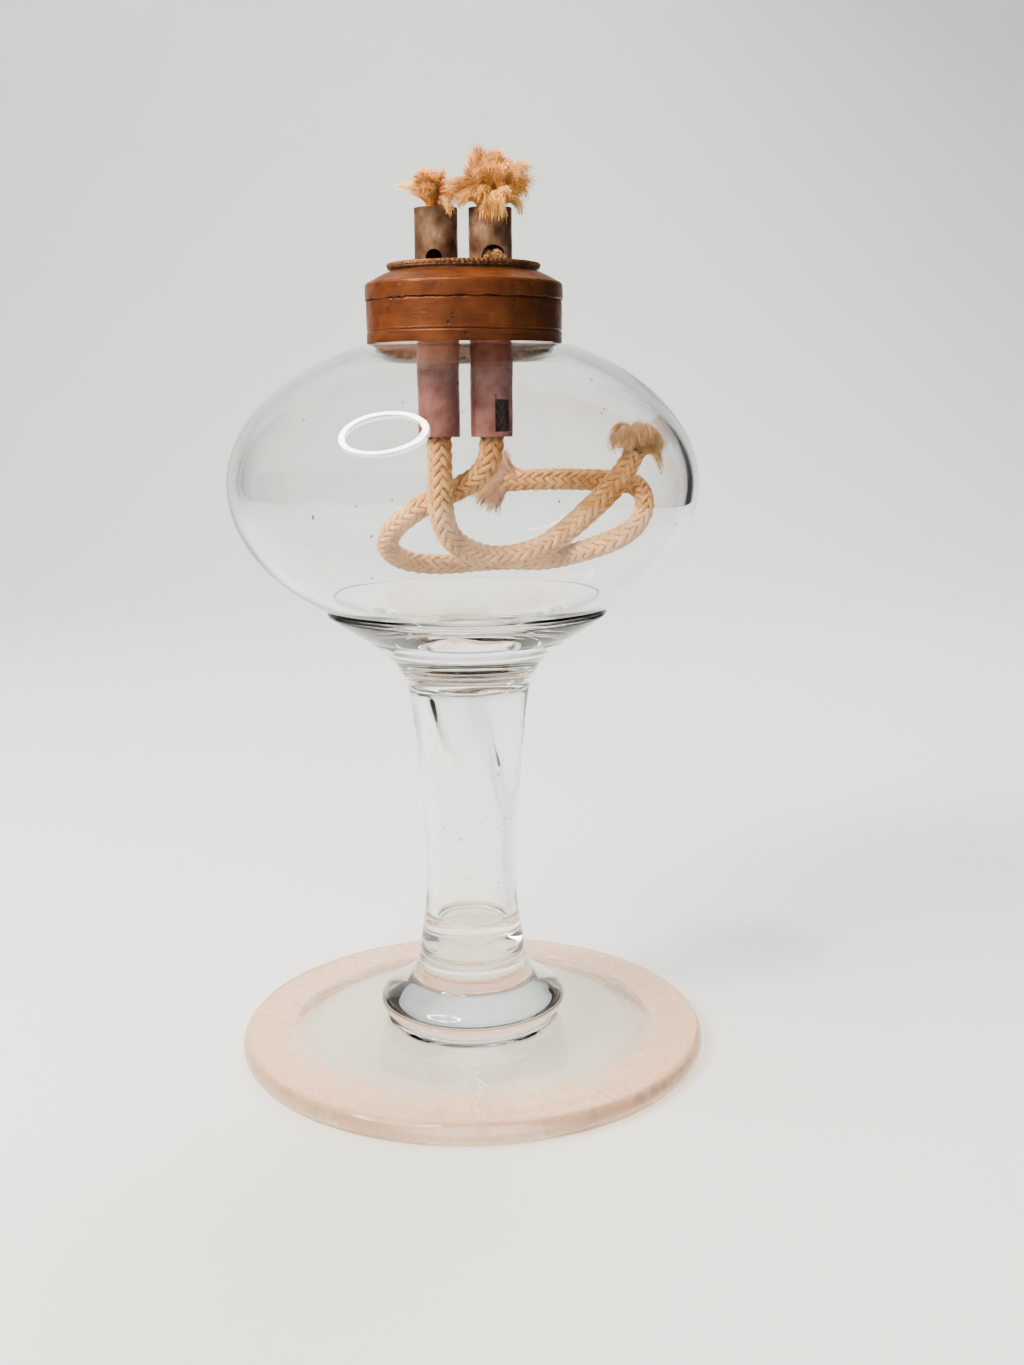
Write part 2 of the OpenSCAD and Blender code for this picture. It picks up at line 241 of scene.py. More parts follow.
def frames_along(line):
    """Tangent and two side directions at each point, carried along without twist."""
    tangents = unit(np.gradient(line, axis=0))
    side = np.array([1.0, 0, 0]) if abs(tangents[0][0]) < 0.9 else np.array([0, 1.0, 0])
    sides = []
    for t in tangents:
        side = side - t * (side @ t)
        side = side / np.linalg.norm(side)
        sides.append(side)
    sides = np.array(sides)
    return tangents, sides, np.cross(tangents, sides)


def tube(line, radius, sides, flat=None):
    """Closed tube along a line. radius is a number or one per point; flat gives (wide axis, thin ratio)."""
    line = np.asarray(line, float)
    n = len(line)
    radius = np.broadcast_to(np.asarray(radius, float), (n,))
    _, u, v = frames_along(line)
    if flat is not None:
        v = unit(flat[0])
        u = unit(np.cross(v, unit(np.gradient(line, axis=0))))
        u = u * flat[1]
    q = np.linspace(0, TAU, sides, endpoint=False)
    rings = (line[:, None] + radius[:, None, None]
             * (np.cos(q)[None, :, None] * u[:, None] + np.sin(q)[None, :, None] * v[:, None]))
    faces = [(k * sides + i, k * sides + (i + 1) % sides,
              (k + 1) * sides + (i + 1) % sides, (k + 1) * sides + i)
             for k in range(n - 1) for i in range(sides)]
    faces.append(tuple(range(sides - 1, -1, -1)))
    faces.append(tuple(range((n - 1) * sides, n * sides)))
    return rings.reshape(-1, 3), faces


# ---- materials ----

class Nodes:
    """Small helper that adds shader nodes and links them."""

    def __init__(self, name):
        self.material = bpy.data.materials.new(name)
        self.material.use_nodes = True
        self.tree = self.material.node_tree
        self.shader = self.tree.nodes["Principled BSDF"]
        self.output = self.tree.nodes["Material Output"]
        self.place = self.add("ShaderNodeTexCoord").outputs["Object"]

    def add(self, kind, **values):
        node = self.tree.nodes.new(kind)
        for key, value in values.items():
            if hasattr(node, key):
                setattr(node, key, value)
            else:
                node.inputs[key.replace("_", " ")].default_value = value
        return node

    def link(self, source, target):
        self.tree.links.new(source, target)

    def set(self, **values):
        for key, value in values.items():
            self.shader.inputs[key.replace("_", " ")].default_value = value

    def stretched(self, x, y, z):
        mapping = self.add("ShaderNodeMapping", Scale=(x, y, z))
        self.link(self.place, mapping.inputs["Vector"])
        return mapping.outputs["Vector"]

    def noise(self, scale, detail=3.0, vector=None, distortion=0.0):
        node = self.add("ShaderNodeTexNoise", Scale=scale, Detail=detail, Distortion=distortion)
        self.link(vector or self.place, node.inputs["Vector"])
        return node.outputs["Fac"]

    def ramp(self, source, stops):
        node = self.add("ShaderNodeValToRGB")
        elements = node.color_ramp.elements
        while len(elements) < len(stops):
            elements.new(0.5)
        for element, (at, colour) in zip(elements, stops):
            element.position = at
            element.color = (*colour, 1)
        self.link(source, node.inputs["Fac"])
        return node.outputs["Color"]

    def span(self, source, low, high, to_low=0.0, to_high=1.0):
        node = self.add("ShaderNodeMapRange")
        node.interpolation_type = "SMOOTHSTEP"
        node.inputs["From Min"].default_value = low
        node.inputs["From Max"].default_value = high
        node.inputs["To Min"].default_value = to_low
        node.inputs["To Max"].default_value = to_high
        self.link(source, node.inputs["Value"])
        return node.outputs["Result"]

    def maths(self, operation, a, b):
        node = self.add("ShaderNodeMath", operation=operation)
        for socket, value in zip(node.inputs, (a, b)):
            if isinstance(value, (int, float)):
                socket.default_value = value
            else:
                self.link(value, socket)
        return node.outputs[0]

    def mix(self, factor, a, b):
        """Colour a where factor is 0 and b where it is 1."""
        node = self.add("ShaderNodeMix", data_type="RGBA")
        for socket, value in ((node.inputs["Factor"], factor), (node.inputs[6], a), (node.inputs[7], b)):
            if isinstance(value, (int, float)):
                socket.default_value = value
            elif isinstance(value, tuple):
                socket.default_value = (*value, 1)
            else:
                self.link(value, socket)
        return node.outputs[2]

    def height(self):
        split = self.add("ShaderNodeSeparateXYZ")
        self.link(self.place, split.inputs[0])
        return split.outputs["Z"]

    def radius(self):
        flat = self.stretched(1, 1, 0)
        node = self.add("ShaderNodeVectorMath", operation="LENGTH")
        self.link(flat, node.inputs[0])
        return node.outputs["Value"]

    def bump(self, source, distance, strength=1.0, onto=None):
        node = self.add("ShaderNodeBump", Strength=strength, Distance=distance)
        self.link(source, node.inputs["Height"])
        if onto is not None:
            self.link(onto, node.inputs["Normal"])
        return node.outputs["Normal"]


def let_lamps_through(nodes, tint):
    """Glass that doesn't block lamps, so that what is inside it is lit."""
    path = nodes.add("ShaderNodeLightPath")
    clear = nodes.add("ShaderNodeBsdfTransparent", Color=(*tint, 1))
    mix = nodes.add("ShaderNodeMixShader")
    nodes.link(path.outputs["Is Shadow Ray"], mix.inputs[0])
    nodes.link(nodes.shader.outputs[0], mix.inputs[1])
    nodes.link(clear.outputs[0], mix.inputs[2])
    nodes.link(mix.outputs[0], nodes.output.inputs["Surface"])


def clear_glass():
    m = Nodes("clear_glass")
    m.set(Base_Color=(0.985, 0.98, 0.975, 1), Roughness=0.0, IOR=1.5, Transmission_Weight=1.0)
    let_lamps_through(m, (0.82, 0.81, 0.80))
    return m.material


def worn_glass():
    """Foot: clear in the middle, ground to a peach-tan frost where its rim has stood on tables."""
    m = Nodes("worn_glass")
    edge = m.maths("ADD", m.radius(), m.maths("MULTIPLY", m.maths("SUBTRACT", m.noise(170, 6), 0.5), 0.009))
    ring = m.span(edge, 0.0315, 0.0385)
    grain = m.span(m.noise(700, 6), 0.3, 0.7, 0.45, 1.0)
    worn = m.maths("MULTIPLY", ring, grain)
    m.link(m.mix(worn, (0.985, 0.98, 0.975), (0.75, 0.50, 0.33)), m.shader.inputs["Base Color"])
    m.link(m.span(worn, 0, 1, 0.0, 0.22), m.shader.inputs["Roughness"])
    m.link(m.span(worn, 0, 1, 1.0, 0.72), m.shader.inputs["Transmission Weight"])
    m.set(IOR=1.5)
    m.link(m.bump(m.noise(1500, 3), 0.00001, 0.3), m.shader.inputs["Normal"])
    let_lamps_through(m, (0.80, 0.75, 0.70))
    return m.material


def old_brass(name, dark, middle, light, roughness):
    """Brown patina over brass: clouded colour, turned lines, pits and scratches."""
    m = Nodes(name)
    cloud = m.noise(190, 8, distortion=0.2)
    colour = m.ramp(cloud, [(0.26, dark), (0.50, middle), (0.76, light)])
    streak = m.noise(110, 6, m.stretched(1, 1, 14))
    colour = m.mix(m.span(streak, 0.48, 0.70, 0, 0.5), colour, dark)
    pits = m.add("ShaderNodeTexVoronoi", Scale=420.0, feature="F1")
    m.link(m.place, pits.inputs["Vector"])
    pit = m.maths("MULTIPLY", m.span(pits.outputs["Distance"], 0.10, 0.22, 1, 0),
                  m.span(m.noise(110, 2), 0.52, 0.6))
    colour = m.mix(m.maths("MULTIPLY", pit, 0.75), colour, tuple(c * 0.25 for c in dark))
    m.link(colour, m.shader.inputs["Base Color"])
    m.link(m.span(cloud, 0.3, 0.75, roughness + 0.12, roughness - 0.06), m.shader.inputs["Roughness"])
    m.set(Metallic=0.42)
    lines = m.bump(m.noise(90, 4, m.stretched(1, 1, 60)), 0.00010, 0.6)
    scratches = m.bump(m.noise(420, 6, distortion=1.5), 0.00010, 0.6, lines)
    m.link(m.bump(m.maths("SUBTRACT", 1.0, pit), 0.00012, 0.8, scratches), m.shader.inputs["Normal"])
    return m.material


def tube_brass():
    """Wick tubes: sooty brown above the disc, pinkish brown where fuel has stained them."""
    m = Nodes("tube_brass")
    cloud = m.noise(300, 7)
    outside = m.ramp(cloud, [(0.34, (0.085, 0.048, 0.030)), (0.50, (0.185, 0.108, 0.070)),
                             (0.62, (0.27, 0.165, 0.110)), (0.72, (0.50, 0.35, 0.25))])
    inside = m.ramp(cloud, [(0.3, (0.17, 0.070, 0.060)), (0.52, (0.30, 0.135, 0.120)),
                            (0.75, (0.42, 0.22, 0.20))])
    colour = m.mix(m.span(m.height(), 0.146, 0.154), inside, outside)
    soot = m.maths("MULTIPLY", m.span(m.height(), 0.1595, 0.1635), m.span(m.noise(330, 4), 0.35, 0.6))
    colour = m.mix(m.maths("MULTIPLY", soot, 0.7), colour, (0.03, 0.018, 0.013))
    m.link(colour, m.shader.inputs["Base Color"])
    m.link(m.span(cloud, 0.3, 0.75, 0.50, 0.26), m.shader.inputs["Roughness"])
    m.set(Metallic=0.45)
    dents = m.bump(m.noise(620, 3), 0.00022, 0.8)
    drawn = m.bump(m.noise(300, 3, m.stretched(1, 1, 0.1)), 0.00004, 0.5, dents)
    m.link(m.bump(m.noise(1500, 3), 0.00004, 0.7, drawn), m.shader.inputs["Normal"])
    return m.material


def cotton(name, painted_hollow_shade, base, tip, nap_size, stained=True):
    """Undyed cotton: painted shade between the yarns, rust stains where it leaves a brass tube, and dark
    brown painted shade on the wick inside the tubes.
    """
    m = Nodes(name)
    shade = m.add("ShaderNodeAttribute", attribute_name="shade").outputs["Fac"]
    colour = m.ramp(m.noise(240, 4), [(0.30, base), (0.70, tip)])
    # Painted shade: low shade values take the dark hollow colour, so the hollows between yarns and the cores
    # of locks are painted darker; random per-fibre values vary the tone
    colour = m.mix(m.span(shade, 0.1, 0.85), painted_hollow_shade, colour)
    if stained:
        axis = m.span(m.radius(), 0.0085, 0.0105, 1.0, 0.0)
        spots = m.maths("MULTIPLY", m.span(m.noise(190, 3), 0.44, 0.62), axis)
        near_tube = m.maths("MULTIPLY", m.span(m.height(), 0.1145, 0.1205), spots)
        colour = m.mix(m.maths("MULTIPLY", near_tube, 0.8), colour, (0.36, 0.13, 0.035))
        # Painted shade: near-black dark brown on the wick where it runs inside a tube, up past the pick holes
        inside_tube_painted_shade = m.maths("MULTIPLY", m.span(m.height(), 0.1205, 0.1225),
                          m.span(m.height(), 0.1555, 0.1575, 1.0, 0.0))
        colour = m.mix(m.maths("MULTIPLY", inside_tube_painted_shade, axis), colour, (0.045, 0.015, 0.008))
    m.link(colour, m.shader.inputs["Base Color"])
    m.set(Roughness=0.92, Sheen_Weight=0.3, Sheen_Roughness=0.5, Specular_IOR_Level=0.15,
          Subsurface_Weight=0.10, Subsurface_Scale=0.001)
    m.shader.inputs["Subsurface Radius"].default_value = (1.0, 0.55, 0.3)
    m.link(m.bump(m.noise(nap_size, 3), 0.00012, 0.5), m.shader.inputs["Normal"])
    return m.material


def plaster():
    m = Nodes("plaster")
    m.link(m.ramp(m.noise(420, 5), [(0.35, (0.07, 0.045, 0.03)), (0.62, (0.34, 0.24, 0.16))]),
           m.shader.inputs["Base Color"])
    m.set(Roughness=0.9)
    m.link(m.bump(m.noise(1500, 4), 0.00015, 0.7), m.shader.inputs["Normal"])
    return m.material


def leather():
    m = Nodes("leather")
    m.link(m.ramp(m.noise(300, 4), [(0.3, (0.045, 0.025, 0.015)), (0.7, (0.13, 0.075, 0.045))]),
           m.shader.inputs["Base Color"])
    m.set(Roughness=0.6)
    cells = m.add("ShaderNodeTexVoronoi", Scale=1300.0)
    m.link(m.place, cells.inputs["Vector"])
    m.link(m.bump(cells.outputs["Distance"], 0.0001, 0.6), m.shader.inputs["Normal"])
    return m.material


def solder():
    m = Nodes("solder")
    m.link(m.ramp(m.noise(400, 4), [(0.3, (0.10, 0.085, 0.07)), (0.7, (0.30, 0.26, 0.21))]),
           m.shader.inputs["Base Color"])
    m.set(Roughness=0.5, Metallic=0.8)
    m.link(m.bump(m.noise(800, 3), 0.0001, 0.7), m.shader.inputs["Normal"])
    return m.material


def flaw():
    m = Nodes("flaw")
    m.link(m.ramp(m.noise(900, 3), [(0.3, (0.75, 0.72, 0.7)), (0.7, (0.95, 0.94, 0.93))]),
           m.shader.inputs["Base Color"])
    m.set(Roughness=0.6, Transmission_Weight=0.35)
    return m.material


# ---- wicks ----

BRAID_PAIRS = 8
BRAID_PITCH = 17.0
YARN_HALF_WIDTH = 0.62
YARN_HALF_DEPTH = 0.48
WEAVE_DEPTH = 0.27

# Inside each tube: the wick reaches down to here and its free stretch starts here
CORE_BOTTOM_Z = 131


def add_braid(shape, line, radius):
    """Round braid: eight yarns each way, each passing over two and under two."""
    along = np.concatenate([[0], np.cumsum(np.linalg.norm(np.diff(line, axis=0), axis=1))])
    _, u, v = frames_along(line)
    core_r = radius - YARN_HALF_DEPTH - WEAVE_DEPTH
    for way in (1, -1):
        for k in range(BRAID_PAIRS):
            angle = way * TAU * along / BRAID_PITCH + TAU * k / BRAID_PAIRS
            crossing = way * 2 * BRAID_PAIRS * along / BRAID_PITCH + 2 * k
            weave = way * WEAVE_DEPTH * np.cos(TAU * (crossing - 0.5) / 4)
            out = np.cos(angle)[:, None] * u + np.sin(angle)[:, None] * v
            strand = line + (core_r + weave)[:, None] * out
            across = np.cross(unit(np.gradient(strand, axis=0)), out)
            points, faces = tube(strand, YARN_HALF_WIDTH, 8, (across, YARN_HALF_DEPTH / YARN_HALF_WIDTH))
            # Painted shade: shade runs from the yarns' undersides to their crowns, and the cotton paints the
            # low part dark as the hollows between yarns
            lift = np.linalg.norm(points - np.repeat(line, 8, axis=0), axis=1)
            shape.add(points, faces, shade=smooth(lift, radius - 0.95, radius - 0.05))


def add_fuzz(shape, rng, line, radius, count):
    """Loose hairs that stand off the cord."""
    _, u, v = frames_along(line)
    for _ in range(count):
        i = rng.integers(2, len(line) - 6)
        a = rng.uniform(0, TAU)
        out = math.cos(a) * u[i] + math.sin(a) * v[i]
        start = line[i] + out * (radius - 0.15)
        drift = rng.normal(size=3) * 0.5
        reach = rng.uniform(0.4, 1.1)
        end = start + out * reach * 0.55 + (line[i + 4] - line[i]) * rng.uniform(-0.5, 0.5) + drift * reach
        hair = curve(start, (start + end) / 2 + out * 0.35, end, 4)
        shape.add(*tube(hair, np.linspace(0.035, 0.015, 5), 3))


def add_lock(shape, rng, spine, width, fibres, core):
    """Lock of teased yarn: frizzy fibres along a curved spine, splaying and curling at its end."""
    n = len(spine)
    t = np.linspace(0, 1, n)
    swell = width * (0.50 + 0.55 * smooth(t, 0, 0.7))
    tangents, u, v = frames_along(spine)
    points, faces = tube(spine, swell * core * (1 - 0.78 * smooth(t, 0.35, 0.95)), 8)
    centre = np.repeat(spine, 8, axis=0)
    rough = 1 + 0.30 * wobble(points, int(rng.integers(1e6)), 0.8)
    # The core takes a low shade value: painted shade in the middle of the lock
    shape.add(centre + (points - centre) * rough[:, None], faces, shade=0.45)
    steps = 7
    curl = rng.normal(0, 0.6)
    for _ in range(fibres):
        a, off = rng.uniform(0, TAU), rng.uniform(0.15, 1.0) ** 0.6
        first = rng.uniform(0, 0.4)
        last = rng.uniform(0.55, 1.0) if rng.uniform() < 0.92 else rng.uniform(1.0, 1.12)
        k = np.linspace(first, last, steps)
        at = np.stack([np.interp(k, t, spine[:, i]) for i in range(3)], axis=1)
        at += tangents[-1] * (np.maximum(k - 1, 0) * length_of(spine))[:, None]
        su = np.stack([np.interp(k, t, u[:, i]) for i in range(3)], axis=1)
        sv = np.stack([np.interp(k, t, v[:, i]) for i in range(3)], axis=1)
        splay = 1 + rng.uniform(-0.4, 0.3) * smooth(k, 0.55, 1.1)
        r = np.interp(k, t, swell) * off * splay
        angle = a + curl * 2.2 * (k - first) + rng.normal(0, 0.3) * np.sin(k * rng.uniform(5, 12))
        line = at + r[:, None] * (np.cos(angle)[:, None] * su + np.sin(angle)[:, None] * sv)
        frizz = rng.normal(0, 0.12, size=(steps - 1, 3))
        line[1:] += frizz + 0.25 * np.cumsum(frizz, axis=0)
        thick = rng.uniform(0.040, 0.085) * (1 - 0.55 * np.linspace(0, 1, steps))
        shape.add(*tube(line, thick, 3), shade=rng.uniform(0.45, 1.0))


def add_locks(shape, rng, root, spread, bends, density, core=0.5):
    """Two thin locks for each (over, end, width), growing from roots spread about one point."""
    for over, end, width in bends:
        for _ in range(2):
            start = np.array(root) + rng.normal(0, spread, 3)
            aside = rng.normal(0, 0.34 * width, 3)
            spine = curve(start, np.array(over) + 0.8 * aside, np.array(end) + aside, 14)
            add_lock(shape, rng, spine, 0.82 * width, int(density * width), core)


def drooping(centre, reach, rise, drop, count, width):
    """Bends of locks that rise from a root and droop all round a centre, like a mushroom's cap."""
    bends = [(tuple(np.add(centre, (0, 0, rise * 0.5))), tuple(np.add(centre, (0.4, 0, rise))), width)]
    for k in range(count):
        a = TAU * k / count
        out = np.array([math.cos(a), 0.75 * math.sin(a), 0])
        over = np.array(centre) + 0.75 * reach * out + (0, 0, rise * (1.45 + 0.2 * math.sin(3 * a)))
        end = np.array(centre) + reach * out - (0, 0, drop * (0.8 + 0.3 * math.sin(2 * a + 1)))
        bends.append((tuple(over), tuple(end), width))
    return bends


LEFT_TUFT = [
    ((-7.2, -1.0, 167.2), (-11.6, -1.4, 166.3), 1.25), ((-7.6, -1.8, 168.4), (-9.4, -2.4, 167.4), 1.5),
    ((-6.6, -2.0, 169.2), (-7.4, -2.4, 168.0), 1.5), ((-6.6, 1.0, 169.2), (-8.0, 1.4, 168.0), 1.6),
    ((-5.2, -1.5, 168.6), (-5.6, -2.4, 167.6), 1.3), ((-4.4, -0.8, 167.0), (-3.9, -1.2, 169.7), 0.75),
    ((-3.6, -1.8, 168.6), (-2.2, -2.4, 166.8), 1.25), ((-3.2, -1.6, 167.4), (-0.6, -2.2, 165.6), 1.2),
    ((-3.4, -3.4, 167.0), (-1.5, -3.8, 163.4), 1.2), ((-3.2, -4.6, 165.8), (-2.9, -4.9, 161.6), 0.95),
    ((-2.4, -3.6, 165.8), (-1.6, -4.2, 161.4), 0.95), ((-3.6, 3.0, 167.5), (-2.4, 3.2, 166.0), 1.4),
    ((-5.4, 3.2, 168.0), (-5.6, 3.6, 166.4), 1.5), ((-8.2, 2.4, 167.0), (-9.6, 2.6, 165.8), 1.3),
    ((-5.6, -3.2, 166.8), (-6.4, -3.9, 165.2), 1.3), ((-2.8, -1.0, 168.2), (0.2, -1.6, 166.8), 1.3),
    ((-2.8, 0.6, 168.0), (-0.2, 0.8, 166.4), 1.3)]
RIGHT_TUFT = [
    ((2.6, -2.8, 167.6), (-0.4, -3.4, 163.2), 1.25), ((2.4, -1.8, 168.4), (-0.6, -2.4, 166.2), 1.3),
    ((2.0, -0.8, 169.6), (0.6, -1.2, 168.6), 1.5), ((2.4, -1.0, 171.6), (1.2, -1.2, 171.0), 1.4),
    ((3.0, -0.4, 173.4), (2.8, -0.8, 172.0), 1.5), ((4.6, -0.6, 172.8), (4.4, -1.4, 171.4), 1.7),
    ((6.8, 0.0, 173.8), (7.0, -0.6, 172.1), 1.6), ((8.4, 0.4, 172.6), (9.2, 0.0, 170.8), 1.7),
    ((10.0, -0.4, 171.4), (11.6, -0.8, 169.6), 1.5), ((10.4, 0.2, 169.6), (12.8, 0.2, 167.6), 1.25),
    ((10.8, 0.0, 168.4), (12.0, 0.2, 164.6), 1.2), ((10.6, -0.4, 166.8), (10.9, -0.2, 161.8), 0.9),
    ((3.4, -3.4, 170.2), (2.4, -4.0, 167.6), 1.35), ((5.2, -3.6, 171.2), (4.8, -4.2, 168.8), 1.4),
    ((7.4, -3.4, 171.0), (7.8, -4.0, 168.8), 1.4), ((9.4, -2.8, 169.8), (10.6, -3.2, 167.2), 1.35),
    ((3.6, -4.4, 168.0), (3.0, -4.8, 163.4), 1.1), ((4.6, -4.8, 167.0), (3.8, -5.0, 160.4), 0.95),
    ((5.6, -5.0, 167.2), (5.6, -5.2, 160.0), 0.95), ((6.8, -5.0, 167.0), (7.2, -5.1, 160.4), 0.9),
    ((8.4, -4.2, 167.4), (9.0, -4.4, 164.4), 1.1), ((5.0, 3.6, 170.6), (4.6, 4.4, 168.4), 1.6),
    ((8.0, 3.4, 170.4), (8.8, 4.0, 168.6), 1.6), ((2.4, 2.8, 169.0), (1.2, 3.4, 167.6), 1.4),
    ((9.8, 2.4, 168.6), (11.0, 2.8, 166.8), 1.3), ((1.6, -1.6, 168.2), (-1.6, -2.6, 165.2), 1.4),
    ((1.8, -3.0, 166.8), (-1.0, -3.8, 162.6), 1.2), ((1.8, 0.6, 168.4), (-1.0, 0.4, 166.8), 1.3)]
PICK_HOLE_FLUFF = [
    ((5.0, -2.6, 155.2), (4.2, -3.2, 154.0), 0.7), ((6.0, -2.6, 155.4), (6.6, -3.2, 153.8), 0.7),
    ((7.0, -2.4, 154.6), (7.8, -2.7, 153.4), 0.6)]
LEFT_FRAY = drooping((33.8, 6.8, 121.2), 4.9, 2.8, 2.0, 12, 1.55) + [
    ((38.0, 6.6, 122.0), (38.6, 5.8, 116.4), 1.0), ((37.6, 5.8, 121.4), (38.2, 5.0, 114.8), 0.8),
    ((30.0, 6.4, 123.2), (28.4, 6.0, 119.2), 1.3), ((31.0, 5.0, 123.2), (29.8, 4.4, 119.4), 1.3)]
RIGHT_FRAY = [
    ((8.2, 35.2, 114.0), (8.8, 34.8, 118.4), 1.0), ((7.4, 35.4, 113.4), (6.6, 35.2, 116.4), 1.0),
    ((6.2, 35.8, 113.0), (3.6, 35.4, 112.8), 1.5), ((5.6, 36.0, 112.4), (1.6, 35.6, 110.4), 1.6),
    ((4.6, 36.2, 111.4), (0.8, 35.2, 107.8), 1.6), ((5.4, 34.0, 111.0), (2.8, 33.4, 108.0), 1.6),
    ((5.2, 36.0, 109.8), (2.6, 35.2, 105.2), 1.5), ((6.4, 34.4, 109.8), (5.2, 34.0, 104.4), 1.4),
    ((7.2, 35.6, 109.6), (7.0, 34.8, 104.6), 1.2), ((7.6, 34.6, 109.8), (8.0, 34.2, 106.4), 1.2)]


def make_tail(name, node, route, body_top, fray_name, fray_node, fray, seed, materials):
    """Free stretch of one wick: its braided cord, and its frayed end as a piece on it."""
    rng = np.random.default_rng(seed)
    material, frayed_cotton = materials
    route = [(route[0][0], route[0][1], body_top)] + route
    line = through(route, 0.5)
    shape = Shape()
    add_braid(shape, line, WICK_R)
    add_fuzz(shape, rng, line, WICK_R, int(3 * length_of(line)))
    cord = shape.piece(name, [material])
    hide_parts(node)

    end = Shape()
    root = line[-1] - unit(line[-1] - line[-4]) * 2.6
    add_locks(end, rng, root, 1.0, fray, 95, 0.75)
    frayed = end.piece(fray_name, [frayed_cotton])
    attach(frayed, "lamp")
    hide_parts(fray_node)

    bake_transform(cord)


def make_wick(name, node, side, tuft, seed, body, material):
    """Wick inside a tube, with the burnt and teased tuft on top."""
    rng = np.random.default_rng(seed)
    shape = Shape()
    x = side * TUBE_X
    add_braid(shape, through([(x, 0, CORE_BOTTOM_Z), (x, 0, 145), (x, 0, TUBE_TOP_Z)], 0.5), WICK_R)
    add_locks(shape, rng, (x, 0, TUBE_TOP_Z - 0.5), 0.8, tuft, 60)
    wick = shape.piece(name, [material])
    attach(wick, body)
    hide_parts(node)


def make_fluff(material):
    """Cotton pulled out through the right tube's pick hole; it is caught there and stays with the tube."""
    shape = Shape()
    add_locks(shape, np.random.default_rng(23), (TUBE_X, -2.2, 153.4), 0.4, PICK_HOLE_FLUFF, 120)
    piece = shape.piece("pick_hole_fluff", [material])
    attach(piece, "burner")


def make_wicks():
    # The first colour of each cotton is the painted shade of its hollows
    cord = cotton("cotton_cord", (0.080, 0.032, 0.012), (0.48, 0.265, 0.110), (0.68, 0.42, 0.20), 2600)
    left_end = cotton("cotton_left_end", (0.30, 0.125, 0.045), (0.74, 0.45, 0.22), (0.90, 0.64, 0.36), 2600)
    right_end = cotton("cotton_right_end", (0.30, 0.13, 0.065), (0.66, 0.42, 0.27), (0.84, 0.62, 0.45), 2600)
    tuft = cotton("cotton_tuft", (0.44, 0.15, 0.030), (0.90, 0.43, 0.115), (1.0, 0.62, 0.22), 3200)
    fluff = cotton("cotton_fluff", (0.25, 0.10, 0.03), (0.62, 0.34, 0.13), (0.80, 0.52, 0.26), 3200,
                   stained=False)
    make_tail("left_wick_cord", "wick_left_tail", LEFT_ROUTE, CORE_BOTTOM_Z,
              "left_wick_frayed_end", "wick_left_frayed_end", LEFT_FRAY, 11, (cord, left_end))
    make_tail("right_wick_cord", "wick_right_tail", RIGHT_ROUTE, CORE_BOTTOM_Z,
              "right_wick_frayed_end", "wick_right_frayed_end", RIGHT_FRAY, 12, (cord, right_end))
    make_wick("left_wick", "wick_left", -1, LEFT_TUFT, 21, "left_wick", tuft)
    make_wick("right_wick", "wick_right", 1, RIGHT_TUFT, 22, "right_wick", tuft)
    make_fluff(fluff)


# ---- glass ----

LATHE_SEGMENTS = 224
FONT_SHIFT = -0.5


def outer_outline():
    """Outside of the fused glass, from the middle of the foot's underside up to the neck's mouth."""
    edge_z = 2.0
    font_low = -math.degrees(math.asin((FONT_Z - 88.8) / FONT_DROP))
    font_high = math.degrees(math.acos(20.6 / FONT_R))
    neck_r = 16.2
    return np.vstack([
        curve((0, 1.4), (20, 1.5), (30.0, 1.35), 12),
        curve((31.0, 1.28), (34.0, 0.9), (36.6, 0.05), 8),
        curve((37.4, 0), (41, 0), (FOOT_R - 1.2, 0), 5),
        arc((FOOT_R - 1.2, edge_z), (1.2, edge_z), -80, 0, 7),
        arc((FOOT_R - 1.6, edge_z), (1.6, 2.2), 12, 84, 7),
        curve((FOOT_R - 2.6, 4.3), (33, 5.2), (17.4, FOOT_TOP_Z), 16),
        curve((16.7, 6.25), (16.4, 6.7), (17.2, 7.2), 3),
        curve((17.7, 7.6), (19.3, 9.3), (17.5, 11.2), 8),
        curve((17.0, 11.6), (15.2, 13.0), (12.6, 13.7), 6),
        [(12.15, 14.0), (11.95, 14.3), (11.85, 14.7)],
        curve((11.7, 15.2), (10.9, 17.2), (10.45, 19.0), 6),
        [(10.2, WAFER_TOP_Z), (10.25, 19.8)],
        curve((10.5, 20.4), (9.6, 25.4), (8.95, 31.5), 10),
        curve((8.9, 34), (8.95, 44), (9.6, 50), 8),
        curve((9.9, 54), (10.4, 64), (11.4, 70.4), 9),
        curve((11.7, 72.2), (12.2, 75.4), (13.5, STEM_TOP_Z - 0.4), 6),
        [(13.75, 77.3), (13.8, 77.7), (14.2, 78.1)],
        curve((14.6, 78.6), (15.6, 79.6), (16.6, 80.5), 4),
        [(16.9, 80.7), (17.3, 80.9)],
        curve((17.8, 81.3), (18.8, 82.4), (19.9, 83.3), 4),
        [(20.3, 83.5), (20.8, 83.7)],
        curve((21.6, 84.2), (24.8, 86.2), (26.6, 87.6), 7),
        arc((26.3, 88.1), (0.62, 0.55), -40, 100, 6),
        arc((0, FONT_Z), (FONT_R, FONT_DROP), font_low, -2, 44),
        arc((0, FONT_Z), (FONT_R, FONT_RISE), 0, font_high, 44),
        curve((19.8, 137.95), (17.0, 138.4), (neck_r, 139.6), 5),
        [(neck_r, 141), (neck_r, 143.5)],
        curve((neck_r + 0.1, 144.2), (neck_r + 0.6, 144.6), (neck_r + 0.4, 145.0), 4)])


